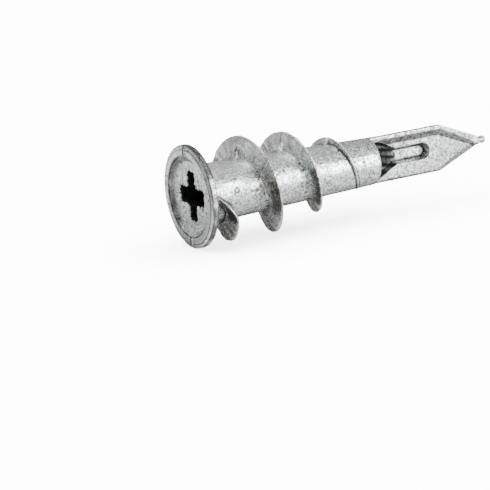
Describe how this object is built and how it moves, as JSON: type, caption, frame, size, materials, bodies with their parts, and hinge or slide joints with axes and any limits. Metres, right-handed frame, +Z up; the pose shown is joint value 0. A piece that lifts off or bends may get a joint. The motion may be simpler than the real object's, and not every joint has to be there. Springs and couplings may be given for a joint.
{
  "type": "self-drilling hollow-wall anchor",
  "caption": "Screw-in zinc anchor for hollow board: dished flange with a cross drive recess, tapered shank with one deep coarse fin, and a flat channelled cutting blade with a small nub.",
  "frame": {"origin": "centre of the flange's underside, on the anchor's axis, which is where the board's surface lies once the anchor is home", "axes": "+Y along the anchor's axis from the flange towards the tip (into the board), +Z up through the blade's raised edge, +X out of the blade's channelled face"},
  "size_m": [0.0126, 0.0413, 0.0126],
  "materials": {
    "zinc": "as-cast and tumbled zinc alloy: light bluish grey, satin, mottled with small pits and flow marks"
  },
  "bodies": {
    "root": {"anchor_body": "zinc"}
  },
  "joints": []
}
